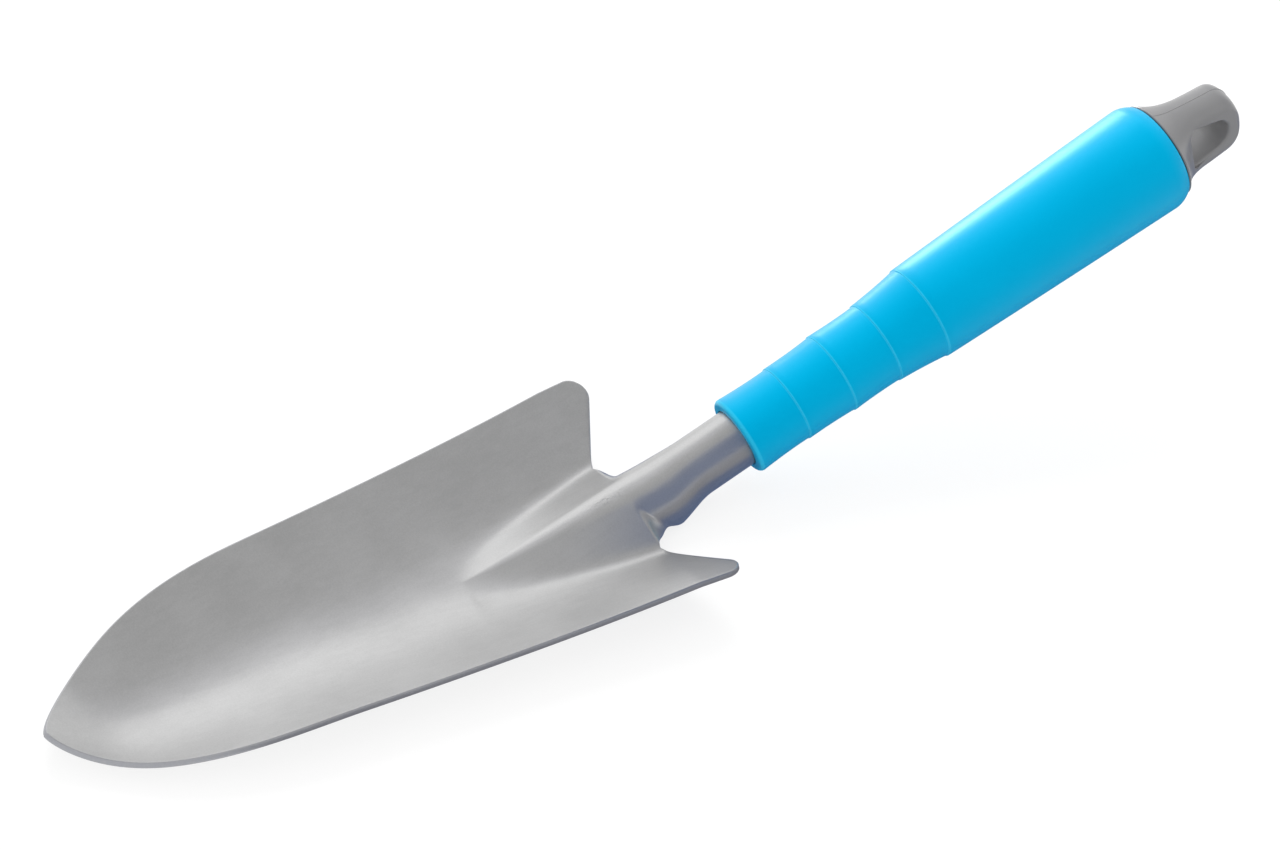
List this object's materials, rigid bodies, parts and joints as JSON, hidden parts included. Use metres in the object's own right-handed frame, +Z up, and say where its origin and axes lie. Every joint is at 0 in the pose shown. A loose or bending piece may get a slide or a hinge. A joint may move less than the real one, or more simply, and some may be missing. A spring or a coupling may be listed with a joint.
{
  "type": "planting trowel",
  "caption": "Hand trowel with a pressed steel blade, a bossed and rolled neck, a stepped blue grip and a grey cap with a hang hole.",
  "frame": {"origin": "on the bench under the middle of the tool's bounding box, with the tool lying on its back as it rests", "axes": "+Z up from the bench on the side of the blade that holds the soil, +Y towards the hanging cap, +X to the right when looking from the blade's tip to the cap"},
  "size_m": [0.0768, 0.3256, 0.0702],
  "materials": {
    "blade_steel": "satin silver",
    "core_plastic": "matte",
    "grip_blue": "soft satin",
    "cap_grey": "satin"
  },
  "bodies": {
    "root": {"blade": "blade_steel", "handle_core": "core_plastic", "grip_sleeve": "grip_blue", "hang_cap": "cap_grey"}
  },
  "joints": []
}
